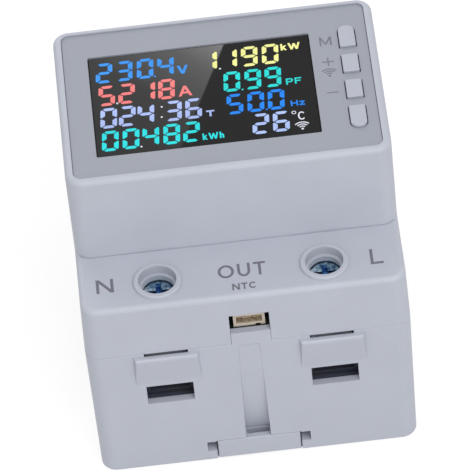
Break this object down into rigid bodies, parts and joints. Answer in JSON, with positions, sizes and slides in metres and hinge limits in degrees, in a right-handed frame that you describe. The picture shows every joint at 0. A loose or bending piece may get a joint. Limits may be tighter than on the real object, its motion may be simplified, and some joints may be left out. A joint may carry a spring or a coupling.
{
  "type": "rail-mounted energy meter",
  "caption": "Rail-mounted energy meter with a segment display, keys on the panel, screw clamp terminals in the end shoulders and a sliding rail clip.",
  "frame": {"origin": "middle of the back, at the plane the meter lies on", "axes": "+Z out of the front panel, -Y towards the output end with the sensor socket, +X to the side of the keys"},
  "size_m": [0.072, 0.0864, 0.0744],
  "materials": {
    "housing_plastic": "fine moulded texture",
    "panel_plastic": "smooth, semi-matte",
    "key_plastic": "satin",
    "clip_plastic": "satin",
    "window_plastic": "polished dark acrylic",
    "display_glass": "polished glass",
    "light_guide": "polished",
    "frame_plastic": "satin",
    "circuit_board": "black solder mask",
    "switch_plastic": "satin",
    "plunger_plastic": "satin",
    "zinc_steel": "zinc plated",
    "black_steel": "black oxide",
    "liner_plastic": "moulded",
    "tinned_copper": "tinned copper",
    "shunt_alloy": "bare alloy",
    "relay_plastic": "satin",
    "spring_steel": "drawn wire",
    "socket_nylon": "natural nylon",
    "pin_metal": "plated",
    "connector_plastic": "satin",
    "transformer_body": "ferrite",
    "capacitor_sleeve": "sleeved can",
    "filter_plastic": "satin",
    "varistor_coat": "dipped lacquer",
    "fuse_coat": "lacquer",
    "chip_plastic": "moulded",
    "shield_metal": "drawn tinplate"
  },
  "bodies": {
    "housing": {"backlight": "light_guide", "clip_spring": "spring_steel", "current_shunt": "shunt_alloy", "display_board": "circuit_board", "display_board_screws": "zinc_steel", "display_window": "window_plastic", "face_plate": "panel_plastic", "filter_capacitor": "filter_plastic", "front_cover": "housing_plastic", "fuse_resistor": "fuse_coat", "in_live_liner": "liner_plastic", "in_neutral_liner": "liner_plastic", "latching_relay": "relay_plastic", "lcd_frame": "frame_plastic", "lcd_panel": "display_glass", "link_header": "connector_plastic", "link_pins": "pin_metal", "link_socket": "connector_plastic", "live_in_busbar": "tinned_copper", "live_out_busbar": "tinned_copper", "main_board": "circuit_board", "main_board_screws": "zinc_steel", "menu_switch": "switch_plastic", "metering_chip": "chip_plastic", "minus_switch": "switch_plastic", "neutral_busbar": "tinned_copper", "ntc_pins": "pin_metal", "ntc_socket": "socket_nylon", "out_live_liner": "liner_plastic", "out_neutral_liner": "liner_plastic", "plus_switch": "switch_plastic", "power_switch": "switch_plastic", "rear_housing": "housing_plastic", "relay_blades": "tinned_copper", "relay_coil_pins": "pin_metal", "supply_capacitor": "capacitor_sleeve", "supply_transformer": "transformer_body", "varistor": "varistor_coat", "wireless_module": "circuit_board", "wireless_shield": "shield_metal"},
    "menu_key_body": {"menu_key": "key_plastic", "menu_plunger": "plunger_plastic"},
    "plus_key_body": {"plus_key": "key_plastic", "plus_plunger": "plunger_plastic"},
    "minus_key_body": {"minus_key": "key_plastic", "minus_plunger": "plunger_plastic"},
    "power_key_body": {"power_key": "key_plastic", "power_plunger": "plunger_plastic"},
    "clip_body": {"rail_clip": "clip_plastic"},
    "out_neutral_screw_body": {"out_neutral_screw": "zinc_steel"},
    "out_neutral_cage_body": {"out_neutral_cage": "black_steel"},
    "out_live_screw_body": {"out_live_screw": "zinc_steel"},
    "out_live_cage_body": {"out_live_cage": "black_steel"},
    "in_neutral_screw_body": {"in_neutral_screw": "zinc_steel"},
    "in_neutral_cage_body": {"in_neutral_cage": "black_steel"},
    "in_live_screw_body": {"in_live_screw": "zinc_steel"},
    "in_live_cage_body": {"in_live_cage": "black_steel"}
  },
  "joints": [
    {"name": "menu_press", "type": "slide", "parent": "housing", "child": "menu_key_body", "axis": [0, 0, -1], "range_m": [0, 0.0005], "stiffness_N_per_m": 600, "springref_m": -0.002},
    {"name": "plus_press", "type": "slide", "parent": "housing", "child": "plus_key_body", "axis": [0, 0, -1], "range_m": [0, 0.0005], "stiffness_N_per_m": 600, "springref_m": -0.002},
    {"name": "minus_press", "type": "slide", "parent": "housing", "child": "minus_key_body", "axis": [0, 0, -1], "range_m": [0, 0.0005], "stiffness_N_per_m": 600, "springref_m": -0.002},
    {"name": "power_press", "type": "slide", "parent": "housing", "child": "power_key_body", "axis": [0, 0, -1], "range_m": [0, 0.0005], "stiffness_N_per_m": 600, "springref_m": -0.002},
    {"name": "clip_release", "type": "slide", "parent": "housing", "child": "clip_body", "axis": [0, -1, 0], "range_m": [0, 0.003], "stiffness_N_per_m": 1500, "springref_m": -0.003, "deforming": ["clip_spring"]},
    {"name": "out_neutral_screw_turn", "type": "hinge", "parent": "housing", "child": "out_neutral_screw_body", "pos_m": [-0.01835, -0.03445, 0.0468], "axis": [0, 0, -1], "range_deg": [0, 2520]},
    {"name": "out_neutral_cage_rise", "type": "slide", "parent": "housing", "child": "out_neutral_cage_body", "axis": [0, 0, 1], "range_m": [0, 0.0056]},
    {"name": "out_live_screw_turn", "type": "hinge", "parent": "housing", "child": "out_live_screw_body", "pos_m": [0.01835, -0.03445, 0.0468], "axis": [0, 0, -1], "range_deg": [0, 2520]},
    {"name": "out_live_cage_rise", "type": "slide", "parent": "housing", "child": "out_live_cage_body", "axis": [0, 0, 1], "range_m": [0, 0.0056]},
    {"name": "in_neutral_screw_turn", "type": "hinge", "parent": "housing", "child": "in_neutral_screw_body", "pos_m": [-0.01835, 0.03445, 0.0468], "axis": [0, 0, -1], "range_deg": [0, 2520]},
    {"name": "in_neutral_cage_rise", "type": "slide", "parent": "housing", "child": "in_neutral_cage_body", "axis": [0, 0, 1], "range_m": [0, 0.0056]},
    {"name": "in_live_screw_turn", "type": "hinge", "parent": "housing", "child": "in_live_screw_body", "pos_m": [0.01835, 0.03445, 0.0468], "axis": [0, 0, -1], "range_deg": [0, 2520]},
    {"name": "in_live_cage_rise", "type": "slide", "parent": "housing", "child": "in_live_cage_body", "axis": [0, 0, 1], "range_m": [0, 0.0056]}
  ],
  "couplings": [
    {"joint": "out_neutral_screw_turn", "follows": "out_neutral_cage_rise", "rad_per_m": 7854},
    {"joint": "out_live_screw_turn", "follows": "out_live_cage_rise", "rad_per_m": 7854},
    {"joint": "in_neutral_screw_turn", "follows": "in_neutral_cage_rise", "rad_per_m": 7854},
    {"joint": "in_live_screw_turn", "follows": "in_live_cage_rise", "rad_per_m": 7854}
  ]
}
